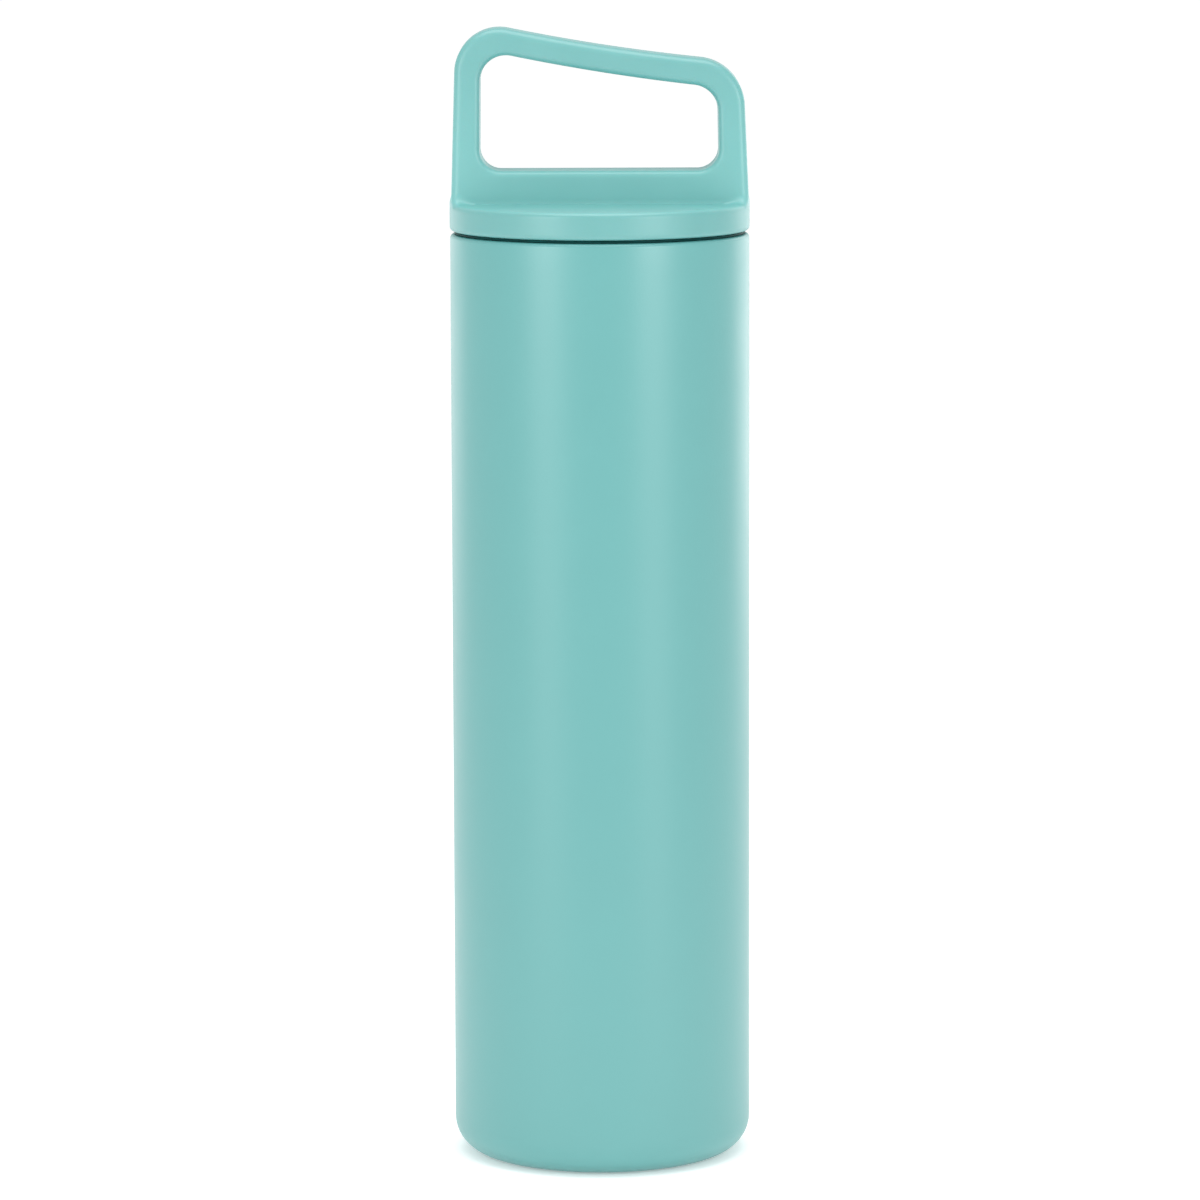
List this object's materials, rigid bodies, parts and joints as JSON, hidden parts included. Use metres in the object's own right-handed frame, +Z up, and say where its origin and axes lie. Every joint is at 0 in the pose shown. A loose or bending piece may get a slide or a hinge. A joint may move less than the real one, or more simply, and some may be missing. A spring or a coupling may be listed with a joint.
{
  "type": "insulated water bottle",
  "caption": "Slim vacuum-insulated steel water bottle with a straight body, a flush screw-in plug lid and a rigid sloping loop handle.",
  "frame": {"origin": "centre of the base, on the surface the bottle stands on", "axes": "+Z up the bottle's axis; the loop handle lies in the XZ plane with its high side at -X; +Y away from the viewer"},
  "size_m": [0.0712, 0.0712, 0.2702],
  "materials": {
    "body_coat": "fine matte teal powder coat on steel",
    "bare_steel": "pressed stainless steel with a turned grain",
    "liner_steel": "electropolished stainless steel",
    "seal_bead": "fused dark sealing glass",
    "foil": "bright crinkled foil",
    "getter_pellet": "pressed metal powder",
    "silicone": "dark matte silicone",
    "lid_plastic": "matte moulded teal polypropylene",
    "plug_plastic": "satin moulded teal polypropylene",
    "foam": "white closed-cell foam"
  },
  "bodies": {
    "bottle": {"outer_shell": "body_coat", "outer_rim": "body_coat", "outer_base": "bare_steel", "vacuum_seal": "seal_bead", "base_cover": "bare_steel", "inner_liner": "liner_steel", "liner_bottom": "liner_steel", "foil_wrap": "foil", "getter": "getter_pellet", "getter_clip": "bare_steel"},
    "gasket": {"rim_gasket": "silicone"},
    "lid": {"handle_cap": "lid_plastic", "thread_plug": "plug_plastic", "foam_insert": "foam"}
  },
  "joints": [
    {"name": "lid_lift", "type": "slide", "parent": "bottle", "child": "gasket", "axis": [0, 0, 1], "range_m": [0, 0.018]},
    {"name": "lid_turn", "type": "hinge", "parent": "gasket", "child": "lid", "pos_m": [0, 0, 0.2222], "axis": [0, 0, 1], "range_deg": [0, 1080]}
  ],
  "couplings": [
    {"joint": "lid_lift", "follows": "lid_turn", "m_per_rad": 0.00095493}
  ]
}
